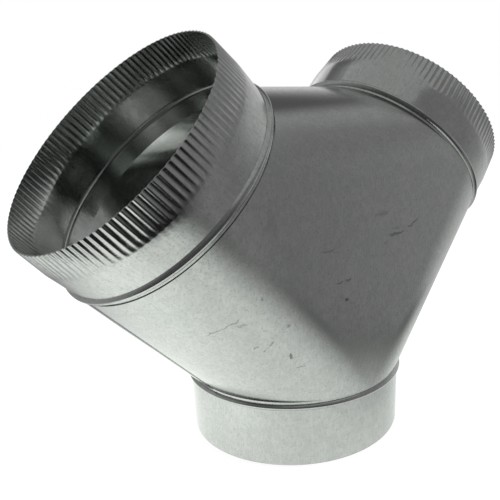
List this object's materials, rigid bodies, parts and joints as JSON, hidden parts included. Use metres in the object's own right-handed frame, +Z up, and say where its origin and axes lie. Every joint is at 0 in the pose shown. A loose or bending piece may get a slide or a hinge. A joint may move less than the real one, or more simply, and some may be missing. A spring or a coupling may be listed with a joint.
{
  "type": "duct y branch",
  "caption": "Sheet metal wye for round duct: a plain inlet collar, a folded body with flat front and back, and crimped branch collars that lean apart, each with a stop bead.",
  "frame": {"origin": "centre of the open rim of the plain inlet collar, on the surface that the fitting stands on", "axes": "+Z up the inlet axis towards the fork; the branches lean towards -X and +X; the flat front faces -Y"},
  "size_m": [0.3576, 0.1574, 0.2633],
  "materials": {
    "galvanised_steel": "bright galvanised sheet, satin with a faint spangle"
  },
  "bodies": {
    "root": {"body_shell": "galvanised_steel", "inlet_collar": "galvanised_steel", "left_branch_collar": "galvanised_steel", "right_branch_collar": "galvanised_steel"}
  },
  "joints": []
}
